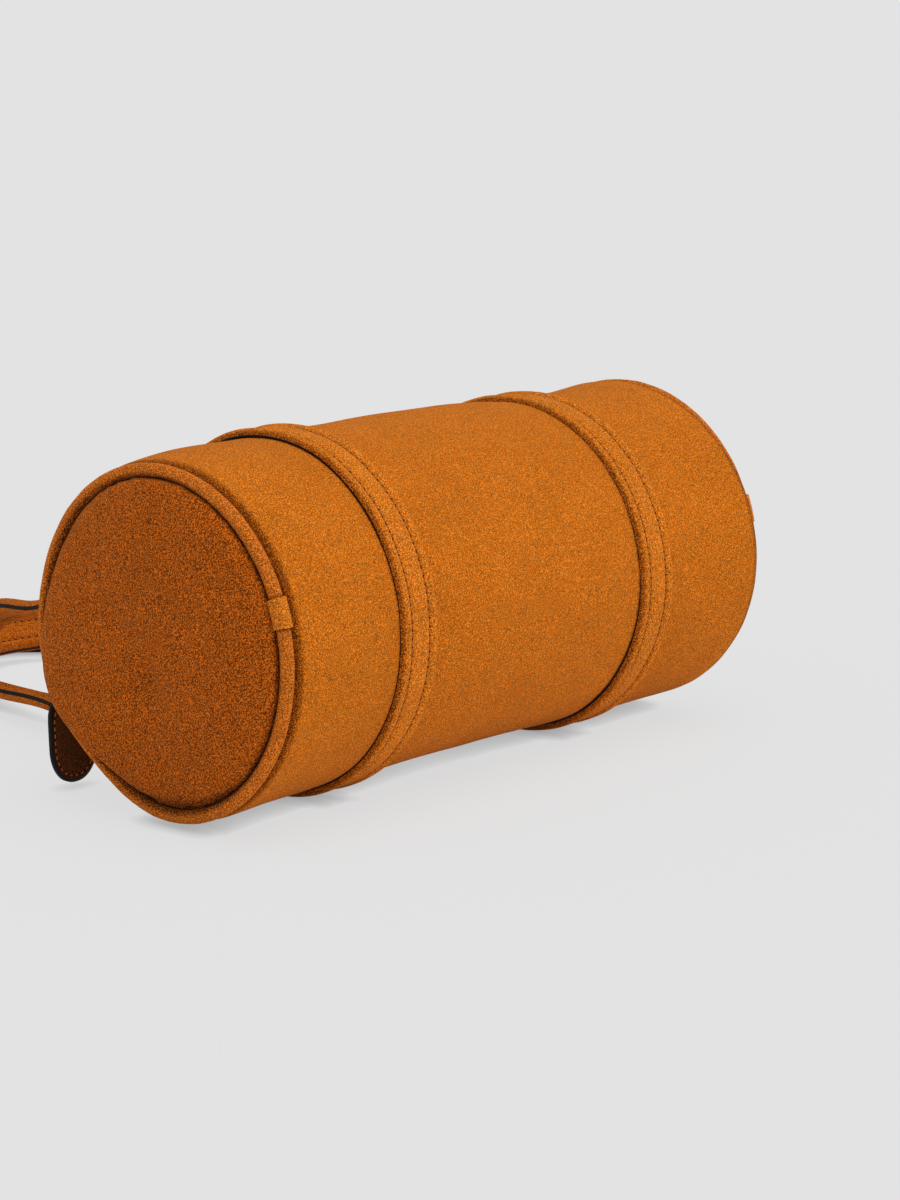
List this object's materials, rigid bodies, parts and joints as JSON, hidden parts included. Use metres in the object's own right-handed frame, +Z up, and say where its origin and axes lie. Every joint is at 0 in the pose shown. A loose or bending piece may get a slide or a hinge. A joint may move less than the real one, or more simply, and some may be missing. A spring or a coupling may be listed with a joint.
{
  "type": "barrel bag",
  "caption": "Small suede barrel bag lying on its side, with padded round ends, piped seams, strap bands that run on into two handles, and a zip with a suede pull tab.",
  "frame": {"origin": "on the floor, under the middle of the bag's outline with its handles spread as in the picture", "axes": "+Z up from the floor, +X along the barrel from the zip's closed end to its open end, +Y toward the handles and the zip"},
  "size_m": [0.2656, 0.3172, 0.126],
  "materials": {
    "suede": "tan suede, black painted cut edges on the straps",
    "suede_end": "tan suede over a padded end",
    "suede_dark": "dark brown suede with black painted edge",
    "interlining": "bonded fibre sheet",
    "board": "stiff fibre board",
    "wadding": "soft wadding",
    "lining": "plain woven cotton",
    "piping_cord": "twisted cotton cord",
    "zip_tape": "woven tape",
    "zip_metal": "satin brass"
  },
  "bodies": {
    "bag": {"body_panel": "suede", "body_stiffener": "interlining", "body_lining": "lining", "left_end_panel": "suede_end", "left_end_wadding": "wadding", "left_end_board": "board", "left_end_lining": "lining", "right_end_panel": "suede_end", "right_end_wadding": "wadding", "right_end_board": "board", "right_end_lining": "lining", "left_piping": "suede", "left_piping_cord": "piping_cord", "left_piping_wrap": "suede", "right_piping": "suede", "right_piping_cord": "piping_cord", "right_piping_wrap": "suede", "left_band": "suede", "right_band": "suede", "upper_zip_tape": "zip_tape", "lower_zip_tape": "zip_tape", "upper_zip_teeth": "zip_metal", "lower_zip_teeth": "zip_metal", "zip_top_stops": "zip_metal", "zip_bottom_stop": "zip_metal"},
    "upper_handle": {"upper_handle_outer_strip": "suede", "upper_handle_inner_strip": "suede"},
    "lower_handle": {"lower_handle_outer_strip": "suede", "lower_handle_inner_strip": "suede"},
    "slider": {"zip_slider": "zip_metal"},
    "pull_tab": {"pull_tab": "suede_dark"}
  },
  "joints": [
    {"name": "zip_slide", "type": "slide", "parent": "bag", "child": "slider", "axis": [1, 0, 0], "range_m": [0, 0.2136]},
    {"name": "pull_tab_swing", "type": "hinge", "parent": "slider", "child": "pull_tab", "pos_m": [-0.1069, -0.0332, 0.04117], "axis": [1, 0, 0], "range_deg": [-28, 170]},
    {"name": "upper_handle_swing", "type": "hinge", "parent": "bag", "child": "upper_handle", "pos_m": [0, -0.04432, 0.10125], "axis": [1, 0, 0], "range_deg": [0, 95]},
    {"name": "lower_handle_swing", "type": "hinge", "parent": "bag", "child": "lower_handle", "pos_m": [0, -0.07816, 0.00155], "axis": [1, 0, 0], "range_deg": [0, 0.8]}
  ]
}
